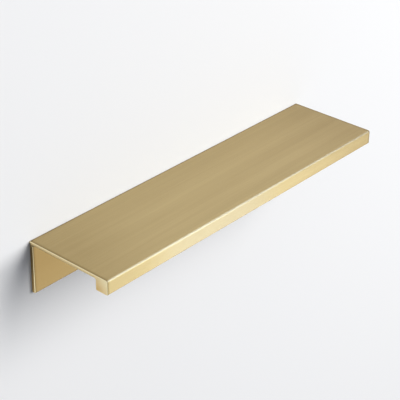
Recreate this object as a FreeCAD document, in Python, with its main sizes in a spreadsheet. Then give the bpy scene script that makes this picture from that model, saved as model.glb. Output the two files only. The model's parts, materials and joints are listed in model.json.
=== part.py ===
import FreeCAD, Part
import os
import Sketcher

# Tab pull for a drawer or door: one bar of brass with a hooked section.
# A thin ledge reaches forward from the drawer front, a flange turns down behind it and takes the
# screws, and a square finger rail hangs under the front edge.
# X runs along the pull, -Y is the front and Z is up. The flange lies on the plane Y = 0, and the
# origin is midway between the two screw holes on that plane.

MATCH = 0.001

# Driving dimensions, in millimetres and degrees
SIZES = [
    ("overall_length", 152.4),
    ("projection", 38.1),
    ("flange_height", 21.4),
    ("flange_thickness", 1.8),
    ("ledge_thickness", 1.4),
    ("rail_height", 5.9),
    ("rail_depth", 5.6),
    ("nose_radius", 0.8),
    ("heel_radius", 0.5),
    ("rail_foot_radius", 0.6),
    ("flange_foot_radius", 0.6),
    ("rail_root_radius", 0.6),
    ("flange_root_radius", 0.8),
    ("end_radius", 0.45),
    ("hole_spacing", 96.0),
    ("hole_drop", 13.0),
    ("hole_diameter", 3.8),
    ("countersink_diameter", 6.4),
    ("countersink_angle", 90.0),
]

doc = FreeCAD.newDocument("TabPull")
sheet = doc.addObject("Spreadsheet::Sheet", "Sizes")
for row, (alias, value) in enumerate(SIZES, start=1):
    sheet.set("A%d" % row, alias)
    sheet.set("B%d" % row, str(value))
    sheet.setAlias("B%d" % row, alias)
doc.recompute()

body = doc.addObject("PartDesign::Body", "tab_pull")
body.Label = "tab_pull"


def size(alias):
    return float(sheet.get(alias))


def origin_plane(role):
    for feature in body.Origin.OriginFeatures:
        if feature.Role == role:
            return feature
    raise ValueError(role)


def new_sketch(name, role):
    sketch = body.newObject("Sketcher::SketchObject", name)
    sketch.AttachmentSupport = [(origin_plane(role), "")]
    sketch.MapMode = "FlatFace"
    return sketch


def dimension(sketch, alias, kind, *places):
    """Add one named dimension to a sketch and tie it to the sheet."""
    sketch.addConstraint(Sketcher.Constraint(kind, *places, size(alias)))
    sketch.renameConstraint(sketch.ConstraintCount - 1, alias)
    sketch.setExpression("Constraints." + alias, "Sizes." + alias)


# Corners of the section, as depth and height from the screw line
back = 0.0
front = -size("projection")
rail_back = front + size("rail_depth")
flange_front = -size("flange_thickness")
top = size("hole_drop")
underside = top - size("ledge_thickness")
rail_foot = top - size("rail_height")
flange_foot = top - size("flange_height")

HEEL = (back, top)
NOSE = (front, top)
RAIL_FRONT_FOOT = (front, rail_foot)
RAIL_BACK_FOOT = (rail_back, rail_foot)
RAIL_ROOT = (rail_back, underside)
FLANGE_ROOT = (flange_front, underside)
FLANGE_FRONT_FOOT = (flange_front, flange_foot)
FLANGE_BACK_FOOT = (back, flange_foot)
SECTION = [
    HEEL, NOSE, RAIL_FRONT_FOOT, RAIL_BACK_FOOT,
    RAIL_ROOT, FLANGE_ROOT, FLANGE_FRONT_FOOT, FLANGE_BACK_FOOT,
]

# The hooked section, drawn with sharp corners
section = new_sketch("HookedSection", "YZ_Plane")
count = len(SECTION)
for line in range(count):
    start = FreeCAD.Vector(*SECTION[line], 0)
    end = FreeCAD.Vector(*SECTION[(line + 1) % count], 0)
    section.addGeometry(Part.LineSegment(start, end), False)
for line in range(count):
    section.addConstraint(Sketcher.Constraint("Coincident", line, 2, (line + 1) % count, 1))
    direction = "Vertical" if line % 2 else "Horizontal"
    section.addConstraint(Sketcher.Constraint(direction, line))
section.addConstraint(Sketcher.Constraint("PointOnObject", 7, 1, -2))
dimension(section, "hole_drop", "DistanceY", -1, 1, 0, 1)
dimension(section, "projection", "DistanceX", 0, 2, 0, 1)
dimension(section, "rail_height", "DistanceY", 1, 2, 1, 1)
dimension(section, "rail_depth", "DistanceX", 2, 1, 2, 2)
dimension(section, "ledge_thickness", "DistanceY", 3, 2, 0, 2)
dimension(section, "flange_thickness", "DistanceX", 6, 1, 6, 2)
dimension(section, "flange_height", "DistanceY", 7, 1, 7, 2)

# The bar, the section carried along its length
bar = body.newObject("PartDesign::Pad", "Bar")
bar.Profile = section
bar.SideType = "Symmetric"
bar.setExpression("Length", "Sizes.overall_length")
doc.recompute()


def long_edges(corners):
    """Name the edges along the bar that stand at these corners of the section."""
    names = []
    for number, edge in enumerate(body.Tip.Shape.Edges, start=1):
        box = edge.BoundBox
        middle = box.Center
        for depth, height in corners:
            at_corner = abs(middle.y - depth) < MATCH and abs(middle.z - height) < MATCH
            if at_corner and box.XLength > 0.5 * size("overall_length"):
                names.append("Edge%d" % number)
    if len(names) != len(corners):
        raise ValueError("section corner not found")
    return names


def end_edges():
    """Name the edges that bound the two ends of the bar."""
    half = 0.5 * size("overall_length")
    names = []
    for number, edge in enumerate(body.Tip.Shape.Edges, start=1):
        box = edge.BoundBox
        if box.XLength < MATCH and abs(abs(box.Center.x) - half) < MATCH:
            names.append("Edge%d" % number)
    return names


def round_off(name, edges, radius):
    """Round the named edges of the bar as it stands."""
    fillet = body.newObject("PartDesign::Fillet", name)
    fillet.Base = (fillet.BaseFeature, edges)
    fillet.setExpression("Radius", radius)
    doc.recompute()


# Rounded long edges, each limited by the wall it runs along
round_off("FlangeRoot", long_edges([FLANGE_ROOT]), "Sizes.flange_root_radius")
round_off("RailRoot", long_edges([RAIL_ROOT]),
          "min(Sizes.rail_root_radius; 0.4 * (Sizes.rail_height - Sizes.ledge_thickness))")
round_off("Nose", long_edges([NOSE]),
          "min(Sizes.nose_radius; 0.5 * Sizes.rail_height; 0.5 * Sizes.rail_depth)")
round_off("Heel", long_edges([HEEL]),
          "min(Sizes.heel_radius; Sizes.flange_thickness; Sizes.ledge_thickness)")
round_off("RailFoot", long_edges([RAIL_FRONT_FOOT, RAIL_BACK_FOOT]),
          "min(Sizes.rail_foot_radius; 0.4 * Sizes.rail_depth; 0.4 * Sizes.rail_height)")
round_off("FlangeFoot", long_edges([FLANGE_FRONT_FOOT, FLANGE_BACK_FOOT]),
          "min(Sizes.flange_foot_radius; 0.45 * Sizes.flange_thickness)")

# Rounded ends, limited by the ledge and by the rounded edges that they turn into
round_off("Ends", end_edges(),
          "min(Sizes.end_radius; 0.4 * Sizes.ledge_thickness; 0.4 * Sizes.flange_thickness;"
          " 0.9 * Sizes.rail_foot_radius; 0.9 * Sizes.flange_foot_radius;"
          " 0.9 * Sizes.heel_radius; 0.9 * Sizes.nose_radius)")
bar_volume = body.Shape.Volume

# One countersunk screw hole, sunk from the finger side of the flange, and its twin
hole_mark = new_sketch("HoleMark", "XZ_Plane")
hole_mark.setExpression("AttachmentOffset.Base.z", "Sizes.flange_thickness")
hole_x = FreeCAD.Vector(0.5 * size("hole_spacing"), 0, 0)
hole_mark.addGeometry(Part.Circle(hole_x, FreeCAD.Vector(0, 0, 1), 0.5 * size("hole_diameter")), False)
hole_mark.addConstraint(Sketcher.Constraint("PointOnObject", 0, 3, -1))
hole_mark.addConstraint(Sketcher.Constraint("DistanceX", -1, 1, 0, 3, hole_x.x))
hole_mark.setExpression("Constraints[1]", "0.5 * Sizes.hole_spacing")
hole_mark.addConstraint(Sketcher.Constraint("Diameter", 0, size("hole_diameter")))
hole_mark.setExpression("Constraints[2]", "Sizes.hole_diameter")
doc.recompute()

screw_hole = body.newObject("PartDesign::Hole", "ScrewHole")
screw_hole.Profile = hole_mark
screw_hole.DepthType = "ThroughAll"
screw_hole.HoleCutType = "Countersink"
screw_hole.HoleCutCustomValues = True
screw_hole.setExpression("Diameter", "Sizes.hole_diameter")
screw_hole.setExpression("HoleCutDiameter", "Sizes.countersink_diameter")
screw_hole.setExpression("HoleCutCountersinkAngle", "Sizes.countersink_angle")
doc.recompute()

twin_hole = body.newObject("PartDesign::Mirrored", "TwinHole")
twin_hole.Originals = [screw_hole]
twin_hole.MirrorPlane = (origin_plane("YZ_Plane"), [""])
body.Tip = twin_hole
doc.recompute()

# Proof of the finished piece, then its file
hole_volume = bar_volume - body.Shape.Volume
if hole_volume <= 0:
    raise ValueError("the screw holes cut nothing")
for thing in doc.Objects:
    if "Invalid" in thing.State or "Error" in thing.State:
        raise ValueError("failed: " + thing.Name)
if body.Shape.isNull() or not body.Shape.isValid():
    raise ValueError("the pull is not a sound solid")

os.makedirs("parts", exist_ok=True)
body.Shape.exportStep("parts/%s.step" % body.Label)
print(body.Label, "solids", len(body.Shape.Solids), "volume", round(body.Shape.Volume, 2))
print("holes take", round(hole_volume, 2), "box", body.Shape.BoundBox)
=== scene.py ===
# %% [markdown]
# A tab pull in brushed brass
#
# The real pull is one bar of brass with a hooked section: a thin ledge on top, a flange behind it that
# is screwed to the drawer front, and a square finger rail under its front edge. The solid is already
# here at its real size, in metres, with the flange on the plane Y = 0 and the front towards -Y. This
# lesson gives it finer rounded edges and its satin finish, and photographs it on a pale wall.

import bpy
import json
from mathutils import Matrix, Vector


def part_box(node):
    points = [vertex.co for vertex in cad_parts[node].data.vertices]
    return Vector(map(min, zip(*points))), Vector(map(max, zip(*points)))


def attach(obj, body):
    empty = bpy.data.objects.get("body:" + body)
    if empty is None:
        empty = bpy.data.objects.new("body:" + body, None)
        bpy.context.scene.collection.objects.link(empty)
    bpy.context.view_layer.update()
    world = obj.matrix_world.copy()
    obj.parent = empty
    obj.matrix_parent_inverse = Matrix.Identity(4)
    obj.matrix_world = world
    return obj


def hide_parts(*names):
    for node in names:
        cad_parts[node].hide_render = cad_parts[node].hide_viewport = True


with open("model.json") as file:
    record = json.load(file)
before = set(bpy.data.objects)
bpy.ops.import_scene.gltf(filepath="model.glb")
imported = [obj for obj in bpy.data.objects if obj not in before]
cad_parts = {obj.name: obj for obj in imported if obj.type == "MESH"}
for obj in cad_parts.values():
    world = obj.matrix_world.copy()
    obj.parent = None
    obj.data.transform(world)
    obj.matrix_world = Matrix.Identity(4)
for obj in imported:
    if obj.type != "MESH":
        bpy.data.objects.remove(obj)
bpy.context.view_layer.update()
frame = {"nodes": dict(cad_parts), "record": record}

# %% [markdown]
# Measuring the solid
#
# The dressed bar has to follow the solid exactly, so its walls are measured on the solid itself. The box
# gives the outside. A ray shot at a wall gives the rest, as a calliper would: up at the underside of the
# ledge and at the foot of the rail, and along the depth at the flange and at the back of the rail.

# %% Measure the walls with rays
from mathutils import Vector
from mathutils.bvhtree import BVHTree

MM = 0.001
solid = frame["nodes"]["tab_pull"].data
touch = BVHTree.FromPolygons([v.co for v in solid.vertices], [f.vertices for f in solid.polygons])
UP, BACKWARD, FORWARD = Vector((0, 0, 1)), Vector((0, 1, 0)), Vector((0, -1, 0))
CLEAR = 10 * MM
PROBE_INSET = 2 * MM

low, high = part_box("tab_pull")
gap_y = 0.5 * (low.y + high.y)
rail_probe_y = low.y + PROBE_INSET
underside_z = touch.ray_cast(Vector((0, gap_y, low.z - CLEAR)), UP)[0].z
rail_foot_z = touch.ray_cast(Vector((0, rail_probe_y, low.z - CLEAR)), UP)[0].z
rail_back_y = touch.ray_cast(Vector((0, gap_y, 0.5 * (underside_z + rail_foot_z))), FORWARD)[0].y
flange_front_y = touch.ray_cast(Vector((0, gap_y, 0.5 * low.z)), BACKWARD)[0].y
print("ledge, mm", round((high.z - underside_z) / MM, 3), "flange", round((high.y - flange_front_y) / MM, 3))
print("rail, mm", round((rail_back_y - low.y) / MM, 3), "by", round((high.z - rail_foot_z) / MM, 3))

# %% [markdown]
# The bar
#
# The pull is the same section from end to end, as if it had been drawn through a die. So the section is
# drawn once with its eight sharp corners, as one face at the left end, and that face is extruded along
# the length. Starting from a cube would need four cuts to reach the same shape.

# %% Draw the section and extrude it
import bmesh

HEEL, NOSE = (high.y, high.z), (low.y, high.z)
RAIL_FRONT_FOOT, RAIL_BACK_FOOT = (low.y, rail_foot_z), (rail_back_y, rail_foot_z)
RAIL_ROOT, FLANGE_ROOT = (rail_back_y, underside_z), (flange_front_y, underside_z)
FLANGE_FRONT_FOOT, FLANGE_BACK_FOOT = (flange_front_y, low.z), (high.y, low.z)
SECTION = [HEEL, NOSE, RAIL_FRONT_FOOT, RAIL_BACK_FOOT,
           RAIL_ROOT, FLANGE_ROOT, FLANGE_FRONT_FOOT, FLANGE_BACK_FOOT]

bar = bmesh.new()
bar.faces.new([bar.verts.new((low.x, y, z)) for y, z in SECTION])
drawn = bmesh.ops.extrude_face_region(bar, geom=bar.faces[:])["geom"]
far_end = [part for part in drawn if isinstance(part, bmesh.types.BMVert)]
bmesh.ops.translate(bar, verts=far_end, vec=(high.x - low.x, 0, 0))
bmesh.ops.recalc_face_normals(bar, faces=bar.faces[:])
print("sharp bar:", len(bar.faces), "faces, volume in cm3", round(bar.calc_volume() * 1e6, 3))

# %% [markdown]
# Rounded long edges
#
# No edge of the real pull is sharp. The front edge, where the finger slides over the ledge, has the widest
# round and catches a bright line of light. Bevelling each edge with its own radius and several segments
# gives true quarter rounds, which a shading trick couldn't give in the outline.

# %% Round each long edge with its own radius
LONG_EDGES = [
    ("nose", [NOSE], 0.8 * MM, 8),
    ("heel", [HEEL], 0.5 * MM, 6),
    ("rail foot", [RAIL_FRONT_FOOT, RAIL_BACK_FOOT], 0.6 * MM, 6),
    ("flange foot", [FLANGE_FRONT_FOOT, FLANGE_BACK_FOOT], 0.6 * MM, 6),
    ("rail root", [RAIL_ROOT], 0.6 * MM, 5),
    ("flange root", [FLANGE_ROOT], 0.8 * MM, 5),
]
SAME_PLACE = 0.001 * MM


def edges_along(corners):
    """The edges that run along the bar at these corners of the section."""
    chosen = []
    for edge in bar.edges:
        start, end = edge.verts[0].co, edge.verts[1].co
        if abs(start.x - end.x) < SAME_PLACE:
            continue
        for y, z in corners:
            if abs(start.y - y) < SAME_PLACE and abs(start.z - z) < SAME_PLACE:
                chosen.append(edge)
    return chosen


def round_off(edges, radius, segments):
    """Turn edges into quarter rounds."""
    bmesh.ops.bevel(bar, geom=edges, offset=radius, segments=segments, profile=0.5,
                    affect="EDGES", material=-1)


for name, corners, radius, segments in LONG_EDGES:
    round_off(edges_along(corners), radius, segments)
    print(name, "rounded to", round(radius / MM, 2), "mm;", len(bar.faces), "faces")

# %% [markdown]
# Rounded ends
#
# The bar looks cut to length, with the rims of both cuts eased. All the edges of an end face are bevelled
# together, so that the round runs on through the corners of the section. A bevel modifier that works by
# angle would round the rims of the screw holes as well.

# %% Round the rims of both ends
END_RADIUS, END_SEGMENTS = 0.45 * MM, 5

end_faces = [face for face in bar.faces if abs(face.normal.x) > 0.5]
rims = list({edge for face in end_faces for edge in face.edges})
round_off(rims, END_RADIUS, END_SEGMENTS)
print("rounded bar:", len(bar.faces), "faces, volume in cm3", round(bar.calc_volume() * 1e6, 3))

# %% [markdown]
# Screw holes
#
# Two countersunk holes go through the flange, with the wide mouth on the finger side. A boolean would
# leave long thin triangles right across the flange, so the holes are made the way a modeller would by
# hand: planes cut a square patch out of the flange round each hole, rings of edges make the mouth, the
# throat and the way out, and the flat between each square and its ring is filled again.

# %% Slice the flange into patches
import math
from mathutils import Matrix

screw_holes = next(mount for mount in frame["record"]["mounts"] if mount["name"] == "screw_holes")
HOLE_X = 0.5 * screw_holes["dims"]["spacing_x_mm"] * MM
HOLE_RADIUS = screw_holes["dims"]["hole_r_mm"] * MM
MOUTH_RADIUS = 3.2 * MM
MOUTH_DEPTH = MOUTH_RADIUS - HOLE_RADIUS
PATCH = 5.0 * MM
RING_SEGMENTS = 32


def slice_bar(place, normal):
    everything = bar.verts[:] + bar.edges[:] + bar.faces[:]
    bmesh.ops.bisect_plane(bar, geom=everything, dist=SAME_PLACE, plane_co=place, plane_no=normal)


for side in (-1, 1):
    slice_bar((0, 0, side * PATCH), (0, 0, 1))
    for edge_of_patch in (-1, 1):
        slice_bar((side * HOLE_X + edge_of_patch * PATCH, 0, 0), (1, 0, 0))
print("sliced bar:", len(bar.faces), "faces")

# %% Drill each hole


def take_patch(x, y):
    """Remove the square of the flange at this place and return its border."""
    middle = Vector((x, y, 0))
    patch = min(bar.faces, key=lambda face: (face.calc_center_median() - middle).length)
    border = patch.edges[:]
    bmesh.ops.delete(bar, geom=[patch], context="FACES_ONLY")
    return border


def ring(x, y, radius):
    """A circle of edges round the axis of a hole."""
    stand = Matrix.Translation((x, y, 0)) @ Matrix.Rotation(math.radians(90), 4, "X")
    made = bmesh.ops.create_circle(bar, segments=RING_SEGMENTS, radius=radius, matrix=stand)
    return list({edge for vert in made["verts"] for edge in vert.link_edges})


for side in (-1, 1):
    x = side * HOLE_X
    mouth = ring(x, flange_front_y, MOUTH_RADIUS)
    throat = ring(x, flange_front_y + MOUTH_DEPTH, HOLE_RADIUS)
    way_out = ring(x, high.y, HOLE_RADIUS)
    bmesh.ops.triangle_fill(bar, use_beauty=True, edges=take_patch(x, flange_front_y) + mouth)
    bmesh.ops.triangle_fill(bar, use_beauty=True, edges=take_patch(x, high.y) + way_out)
    bmesh.ops.bridge_loops(bar, edges=mouth + throat)
    bmesh.ops.bridge_loops(bar, edges=throat + way_out)
bmesh.ops.recalc_face_normals(bar, faces=bar.faces[:])
open_edges = sum(1 for edge in bar.edges if not edge.is_manifold)
print("drilled bar:", len(bar.faces), "faces,", open_edges, "open edges, volume in cm3",
      round(bar.calc_volume() * 1e6, 3))

# %% [markdown]
# From mesh to piece
#
# The mesh becomes an object that rides on the part's only body and stands for the solid. Every face is
# smooth, with the sharp rims of the holes kept by angle. Weighted normals make the wide flats decide the
# shading at their borders, so that they stay flat up to the tangent of each round.
#
# Brushed metal stretches its highlights across the grain, so the shader has to know which way the grain
# runs. Without a UV map it takes that direction from the texture space of the mesh, as circles round an
# upright axis. With that axis a kilometre behind the pull, the circles are straight lines along X.

# %% Make the piece
import bpy

SHARP_ANGLE = math.radians(35)
GRAIN_AXIS = (0, 1000, 0)

mesh = bpy.data.meshes.new("brushed_pull")
for face in bar.faces:
    face.smooth = True
bar.to_mesh(mesh)
bar.free()
mesh.set_sharp_from_angle(angle=SHARP_ANGLE)
mesh.use_auto_texspace = False
mesh.texspace_location = GRAIN_AXIS
mesh.texspace_size = (1, 1, 1)
pull = bpy.data.objects.new("brushed_pull", mesh)
bpy.context.scene.collection.objects.link(pull)
flats = pull.modifiers.new("flats stay flat", "WEIGHTED_NORMAL")
flats.keep_sharp = True
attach(pull, "root")
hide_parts("tab_pull")
print("piece:", len(mesh.vertices), "vertices,", len(mesh.polygons), "faces")

# %% [markdown]
# Shader sums in plain Python
#
# A finish is worked out from noise, masks and sums. Writing each sum as a chain of nodes hides what it
# says, so a small class wraps a socket: adding or multiplying two of them adds the Math node. Any other
# node comes from one method, which sets the node up and then fills its sockets.

# %% A socket that can be added and multiplied


class Tone:
    """One output socket of a node tree."""

    def __init__(self, tree, socket=None):
        self.tree = tree
        self.socket = socket

    def node(self, kind, settings=None, sockets=None, output=0):
        """Add a node, set it up, fill its sockets by name or number, and return one output."""
        made = self.tree.nodes.new(kind)
        for name, value in (settings or {}).items():
            setattr(made, name, value)
        for name, value in (sockets or {}).items():
            if isinstance(value, Tone):
                self.tree.links.new(value.socket, made.inputs[name])
            else:
                made.inputs[name].default_value = value
        return Tone(self.tree, made.outputs[output] if made.outputs else None)

    def maths(self, operation, first, second):
        return self.node("ShaderNodeMath", {"operation": operation}, {0: first, 1: second})

    def __add__(self, other):
        return self.maths("ADD", self, other)

    def __radd__(self, other):
        return self.maths("ADD", other, self)

    def __sub__(self, other):
        return self.maths("SUBTRACT", self, other)

    def __rsub__(self, other):
        return self.maths("SUBTRACT", other, self)

    def __mul__(self, other):
        return self.maths("MULTIPLY", self, other)

    def __rmul__(self, other):
        return self.maths("MULTIPLY", other, self)


def new_finish(name):
    """An empty material, and the start of its node tree."""
    finish = bpy.data.materials.new(name)
    finish.use_nodes = True
    finish.node_tree.nodes.clear()
    return finish, Tone(finish.node_tree)


def srgb(red, green, blue):
    """A colour as a painter reads it off a screen, from 0 to 255, made linear."""
    def linear(level):
        level = level / 255
        return level / 12.92 if level <= 0.04045 else ((level + 0.055) / 1.055) ** 2.4
    return (linear(red), linear(green), linear(blue), 1.0)


print("srgb(200, 176, 122) is", [round(level, 3) for level in srgb(200, 176, 122)])

# %% [markdown]
# Colours of the brass
#
# The real pull is one metal all over, brushed along its length with a belt. Its faces still look different,
# and here those differences are painted light and shade: the bar is painted darker towards both ends, the
# inside of the hook is painted darker as shade, the cut ends are painted lighter with painted shade towards
# their bottom and back, the rims by the cuts, the back of the top by the wall and the rounds that face down
# carry painted shade, and the nose and a patch of the front carry painted highlights. Each of these has its
# own colour, set by comparing renders with the photograph. They are tints that match it, not measured facts.

# %% Colours, places and directions
BRASS = srgb(193, 169, 123)
BRASS_DEEP = srgb(167, 143, 99)
# Painted shade: the inside of the hook, under the ledge, is painted darker and deeper in colour.
HOOK_PAINTED_SHADE = srgb(143, 121, 79)
# Painted shade for the rims by the cuts, the back of the top by the wall, rounds facing down and the ledge
# end.
EDGE_PAINTED_SHADE = srgb(118, 97, 58)
# Painted highlight: a greyer tint on the nose round, so that its bright line looks whiter.
NOSE_PAINTED_HIGHLIGHT = srgb(168, 151, 128)
# Painted highlight: a paler patch on the front of the rail, left of its middle.
FRONT_PAINTED_HIGHLIGHT = srgb(181, 161, 126)
# Painted light: the end faces are painted much lighter than the brass, with painted shade towards their
# bottom and back.
ENDS_PAINTED_LIGHT = srgb(250, 237, 195)
ENDS_PAINTED_SHADE = srgb(230, 197, 130)

brass, start = new_finish("satin_brass")


def split(vector):
    """The three parts of a vector."""
    return [start.node("ShaderNodeSeparateXYZ", None, {"Vector": vector}, output=axis) for axis in "XYZ"]


place = start.node("ShaderNodeTexCoord", output="Object")
normal = start.node("ShaderNodeNewGeometry", output="Normal")
at_x, at_y, at_z = split(place)
face_x, face_y, face_z = split(normal)
print("brass, linear:", [round(level, 3) for level in BRASS[:3]])

# %% [markdown]
# The grain
#
# A belt leaves thousands of fine scratches that all run along X. Noise that is stretched along X makes
# them, in three layers: wide faint bands, lines that the eye can follow, and hairs for the satin sheen.
# Scratches made of geometry would take millions of faces for the same look.

# %% Three layers of scratches
BAND_LENGTH, BAND_WIDTH = 150 * MM, 5.0 * MM
LINE_LENGTH, LINE_WIDTH = 60 * MM, 0.8 * MM
HAIR_LENGTH, HAIR_WIDTH = 20 * MM, 0.14 * MM
GRAIN_ROUGHNESS = 0.55


def fade(value, none, full):
    """A mask that goes softly from 0 to 1 while the value goes from the one number to the other."""
    return start.node("ShaderNodeMapRange", {"interpolation_type": "SMOOTHSTEP"},
                      {"Value": value, "From Min": none, "From Max": full})


def grain(length, width, detail):
    """Scratches of about this length and width, from 0 to 1."""
    stretched = start.node("ShaderNodeMapping", {"vector_type": "POINT"},
                           {"Vector": place, "Scale": (1 / length, 1 / width, 1 / width)})
    return start.node("ShaderNodeTexNoise", {"noise_dimensions": "3D"},
                      {"Vector": stretched, "Scale": 1.0, "Detail": detail, "Roughness": GRAIN_ROUGHNESS})


bands = grain(BAND_LENGTH, BAND_WIDTH, 3.0)
lines = grain(LINE_LENGTH, LINE_WIDTH, 2.0)
hairs = grain(HAIR_LENGTH, HAIR_WIDTH, 1.0)
scratches = fade(bands * 0.5 + lines * 0.3 + hairs * 0.2, 0.1, 0.9)
print("grain:", len(brass.node_tree.nodes), "nodes so far")

# %% [markdown]
# Where the looks differ
#
# Masks tell the places apart. Position finds the ends, the hook and the strip by the wall. The direction
# that a face looks in finds the cut ends and the rounds: the fourth powers of its three parts add up to 1
# on a flat and to less on a round. Painting the masks by hand would need a UV map and would go wrong as
# soon as the bar had another length.

# %% Masks from direction
flat_x, flat_y, flat_z = face_x * face_x, face_y * face_y, face_z * face_z
rounds = fade(flat_x * flat_x + flat_y * flat_y + flat_z * flat_z, 0.95, 0.6)
cut_ends = fade(flat_x, 0.2, 0.45)
nose = rounds * fade(face_z, 0.1, 0.4) * fade(face_y, -0.1, -0.4)
# Painted shade on the rounds that face down.
shade_under_rounds = rounds * fade(face_z, 0.0, -0.4)
print("masks from direction:", len(brass.node_tree.nodes), "nodes so far")

# %% Masks from position
END_ZONE = 25 * MM
CUT_RIM, CUT_RIM_FULL = 1.5 * MM, 0.4 * MM
WALL_STRIP, WALL_STRIP_FULL = 1.2 * MM, 0.2 * MM
PALE_LEFT, PALE_REACH, PALE_FULL = 19 * MM, 40 * MM, 8 * MM
STEP = 1 * MM
LIP = 0.5 * MM

# Painted shade along the rims by both cuts, and a painted contact shadow along the back of the top by the
# wall.
shade_by_the_cut = fade(at_x * at_x, (high.x - CUT_RIM) ** 2, (high.x - CUT_RIM_FULL) ** 2)
wall_contact_shadow = fade(at_y, high.y - WALL_STRIP, high.y - WALL_STRIP_FULL) * fade(face_z, 0.3, 0.7)
# Painted shade: the brass is painted darker towards both ends of the bar.
end_shade = fade(at_x * at_x, END_ZONE ** 2, high.x ** 2)
in_the_hook = fade(at_y, rail_back_y - STEP, rail_back_y) * fade(face_y + face_z, 0.0, -0.5)
brushed = 1 - in_the_hook
from_pale = at_x + PALE_LEFT
# Painted highlight: the front of the rail is painted paler left of its middle.
front_highlight = fade(from_pale * from_pale, PALE_REACH ** 2, PALE_FULL ** 2) * fade(face_y, -0.4, -0.9) * brushed
# Painted shade on the end faces, towards their bottom and back.
end_shade_low_back = fade(at_z, high.z, rail_foot_z) * 0.5 + fade(at_y, low.y, rail_back_y) * 0.5
behind_rail = fade(at_y, rail_back_y, rail_back_y + STEP)
# Painted shade on the ends behind the rail, under the top rim of the ledge.
shade_under_lip = behind_rail * fade(at_z, high.z - LIP, underside_z) * fade(at_z, low.z, underside_z - STEP)
print("masks from position:", len(brass.node_tree.nodes), "nodes so far")

# %% [markdown]
# Tint
#
# The tints go on one over the other, as a painter glazes: the brushed brass first, painted darker towards
# both ends as shade, then the painted highlight on the front, the painted shade in the hook, the painted
# highlight on the nose, the painted shade on the edges and last the cut ends, painted lighter with painted
# shade towards their bottom and back. Each mask says how much of its colour shows. One material for the
# whole bar keeps the grain running on over its corners.

# %% Lay the tints over each other


def mix(mask, below, above):
    return start.node("ShaderNodeMix", {"data_type": "RGBA"}, {"Factor": mask, "A": below, "B": above},
                      output="Result")


# Painted shade: rims by the cuts, a painted contact shadow by the wall, and rounds that face down.
edges = shade_by_the_cut * 0.5 + wall_contact_shadow * 0.8 + shade_under_rounds * 0.5
# The end faces: painted light, with painted shade towards their bottom and back.
cut = mix(end_shade_low_back * (1 - rounds), ENDS_PAINTED_LIGHT, ENDS_PAINTED_SHADE)
# Painted shade under the top rim of the ledge end.
cut = mix(shade_under_lip * 0.6, cut, EDGE_PAINTED_SHADE)
# The brushed grain, painted darker towards both ends as shade.
tint = mix(scratches - end_shade * 0.35, BRASS_DEEP, BRASS)
# Painted highlight on the front of the rail.
tint = mix(front_highlight * 0.9, tint, FRONT_PAINTED_HIGHLIGHT)
# Painted shade in the hook, under the ledge.
tint = mix(in_the_hook * 0.9, tint, HOOK_PAINTED_SHADE)
# Painted highlight colour on the nose round.
tint = mix(nose * 0.7, tint, NOSE_PAINTED_HIGHLIGHT)
# Painted shade on the edges.
tint = mix(edges, tint, EDGE_PAINTED_SHADE)
# The end faces get their painted light and shade.
tint = mix(cut_ends, tint, cut)
print("tint:", len(brass.node_tree.nodes), "nodes so far")

# %% [markdown]
# Satin metal
#
# Scratches spread a reflection across the grain and hardly along it. The anisotropy of the shader does most
# of that, turned by a quarter so that it spreads across X. The scratches change the roughness a little and
# tilt the surface through bump. The inside of the hook is set smoother, because it looks plain in the
# photograph, as if the belt hadn't reached it.

# %% Satin brass
ROUGHNESS, HOOK_SMOOTHING = 0.36, 0.10
LINE_ROUGHNESS, HAIR_ROUGHNESS = 0.14, 0.10
LINE_RELIEF, HAIR_RELIEF = 0.01, 0.05
ANISOTROPY, QUARTER_TURN = 0.85, 0.25

grain_roughness = (lines * LINE_ROUGHNESS + hairs * HAIR_ROUGHNESS) * brushed
roughness = ROUGHNESS + grain_roughness - in_the_hook * HOOK_SMOOTHING
relief = (lines * LINE_RELIEF + hairs * HAIR_RELIEF) * brushed
bump = start.node("ShaderNodeBump", None, {"Strength": 1.0, "Distance": 1 * MM, "Height": relief})
metal = start.node("ShaderNodeBsdfPrincipled", None,
                   {"Base Color": tint, "Metallic": 1.0, "Roughness": roughness, "Normal": bump,
                    "Anisotropic": ANISOTROPY, "Anisotropic Rotation": QUARTER_TURN})
start.node("ShaderNodeOutputMaterial", None, {"Surface": metal})
mesh.materials.append(brass)
print("satin brass:", len(brass.node_tree.nodes), "nodes")

# %% [markdown]
# The wall
#
# The pull is shown as it is used, on an upright pale surface, which stands in for the floor. A single flat
# sheet is enough, because the camera doesn't see its border. It lies a hair in front of the back of the
# flange, so that the two surfaces don't flicker and the back mirrors the white surround. It is drawn only
# from the front, so the back of the pull can be looked at too.

# %% Wall
WALL_SINK = 0.1 * MM
WALL_SIDE = 4.0
WALL_WHITE = (0.855, 0.86, 0.867, 1.0)

wall_paint, start = new_finish("wall_paint")
matt = start.node("ShaderNodeBsdfDiffuse", None, {"Color": WALL_WHITE})
nothing = start.node("ShaderNodeBsdfTransparent")
from_behind = start.node("ShaderNodeNewGeometry", output="Backfacing")
paint = start.node("ShaderNodeMixShader", None, {0: from_behind, 1: matt, 2: nothing})
start.node("ShaderNodeOutputMaterial", None, {"Surface": paint})

sheet = bmesh.new()
upright = Matrix.Translation((0, high.y - WALL_SINK, 0)) @ Matrix.Rotation(math.radians(90), 4, "X")
bmesh.ops.create_grid(sheet, x_segments=1, y_segments=1, size=WALL_SIDE / 2, matrix=upright)
wall_mesh = bpy.data.meshes.new("wall")
sheet.to_mesh(wall_mesh)
sheet.free()
wall_mesh.materials.append(wall_paint)
wall = bpy.data.objects.new("wall", wall_mesh)
bpy.context.scene.collection.objects.link(wall)
print("wall faces", [round(axis) for axis in wall_mesh.polygons[0].normal])

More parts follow.
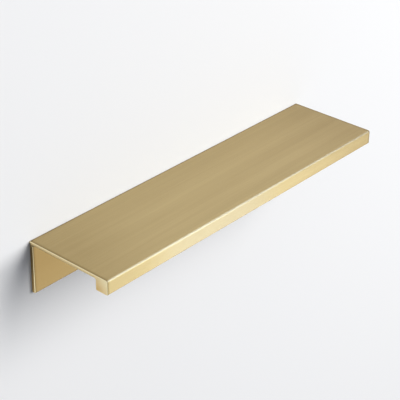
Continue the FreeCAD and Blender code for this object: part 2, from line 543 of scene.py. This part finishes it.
# %% [markdown]
# Light
#
# In the photograph the shadow falls to the left on the wall, and the front of the rail is the brightest
# face. One lamp can't give both at the right strength, so each lamp has its own job. The key lights only
# the wall and throws the shadow. The sheen and the card are seen only in the metal: the sheen brightens the
# front and the nose, and the card, low on the right, is what the flange mirrors.

# %% Lamps
# Each lamp has a place, a width, a height, a brightness and a colour
LAMPS = {
    "key": ((0.763, -1.279, 0.669), 0.90, 1.35, 8.6, (1.0, 0.985, 0.965)),
    "sheen": ((0.412, -0.662, 0.240), 0.40, 0.30, 14.8, (0.60, 0.82, 1.0)),
    "card": ((0.45, -0.44, -0.36), 0.60, 0.50, 0.7, (1.0, 0.95, 0.80)),
}


def soft_box(name, place, aim, width, height, brightness, colour):
    """A rectangular lamp whose face is this many times as bright as white."""
    lamp = bpy.data.lights.new(name, "AREA")
    lamp.shape = "RECTANGLE"
    lamp.size, lamp.size_y = width, height
    lamp.energy = brightness * math.pi * width * height
    lamp.color = colour
    thing = bpy.data.objects.new(name, lamp)
    thing.location = place
    thing.rotation_euler = (Vector(aim) - Vector(place)).to_track_quat("-Z", "Y").to_euler()
    bpy.context.scene.collection.objects.link(thing)
    return thing


middle = 0.5 * (low + high)
for name, (stand, width, height, brightness, colour) in LAMPS.items():
    lamp = soft_box(name, stand, middle, width, height, brightness, colour)
    lamp.visible_glossy = name != "key"
    lamp.visible_diffuse = name == "key"
    print(name, "stands", round((lamp.location - middle).length, 2), "m from the pull")

# %% [markdown]
# The surround
#
# A studio is white all round, and brass looks like brass only when it mirrors something. So the camera and
# the metal see a white surround, while the wall gets a dimmer and slightly blue light from it that fills
# the shadow. A ray that has already met the wall gets the dim light too, even where the metal then mirrors
# it. Otherwise the pull would throw a bright glow back on the wall, which the photograph doesn't show.

# %% Surround
WHITE = (1.0, 1.0, 1.0, 1.0)
FILL_TINT = (0.92, 0.98, 1.10, 1.0)
FILL_BRIGHTNESS, WHITE_BRIGHTNESS = 0.22, 1.0

surround = bpy.data.worlds.new("surround")
surround.use_nodes = True
surround.node_tree.nodes.clear()
start = Tone(surround.node_tree)
by_camera = start.node("ShaderNodeLightPath", output="Is Camera Ray")
by_metal = start.node("ShaderNodeLightPath", output="Is Glossy Ray")
through = start.node("ShaderNodeLightPath", output="Is Transmission Ray")
wall_bounces = start.node("ShaderNodeLightPath", output="Diffuse Depth")
first_hand = start.node("ShaderNodeMapRange", None,
                        {"Value": wall_bounces, "From Min": 1.0, "From Max": 0.0})
seen = (by_camera + by_metal + through) * first_hand
glow = start.node("ShaderNodeMapRange", None,
                  {"Value": seen, "To Min": FILL_BRIGHTNESS, "To Max": WHITE_BRIGHTNESS})
hue = mix(seen, FILL_TINT, WHITE)
sky = start.node("ShaderNodeBackground", None, {"Color": hue, "Strength": glow})
start.node("ShaderNodeOutputWorld", None, {"Surface": sky})
bpy.context.scene.world = surround
print("surround:", len(surround.node_tree.nodes), "nodes")

# %% [markdown]
# The camera
#
# The photographer stood to the left and above, with a long lens. The angles were worked out from the
# edges of the pull in the picture: the azimuth is measured from straight in front, the elevation from level.

# %% Camera at the photograph's angle
AZIMUTH, ELEVATION, ROLL = math.radians(-49.40), math.radians(29.70), math.radians(1.09)
AIM = Vector((-7.54, -19.05, 7.96)) * MM
DISTANCE = 486.63 * MM
LENS, SENSOR = 116.50, 36.0

view = bpy.data.cameras.new("view")
view.lens, view.sensor_width = LENS, SENSOR
camera = bpy.data.objects.new("view", view)
away = Vector((math.sin(AZIMUTH) * math.cos(ELEVATION),
               -math.cos(AZIMUTH) * math.cos(ELEVATION), math.sin(ELEVATION)))
camera.location = AIM + DISTANCE * away
camera.rotation_mode = "QUATERNION"
camera.rotation_quaternion = away.to_track_quat("Z", "Y") @ Matrix.Rotation(ROLL, 3, "Z").to_quaternion()
bpy.context.scene.collection.objects.link(camera)
bpy.context.scene.camera = camera
bpy.context.scene.view_settings.view_transform = "Standard"
print("camera at, mm", [round(part / MM, 1) for part in camera.location])

# %% Load the json module
import json
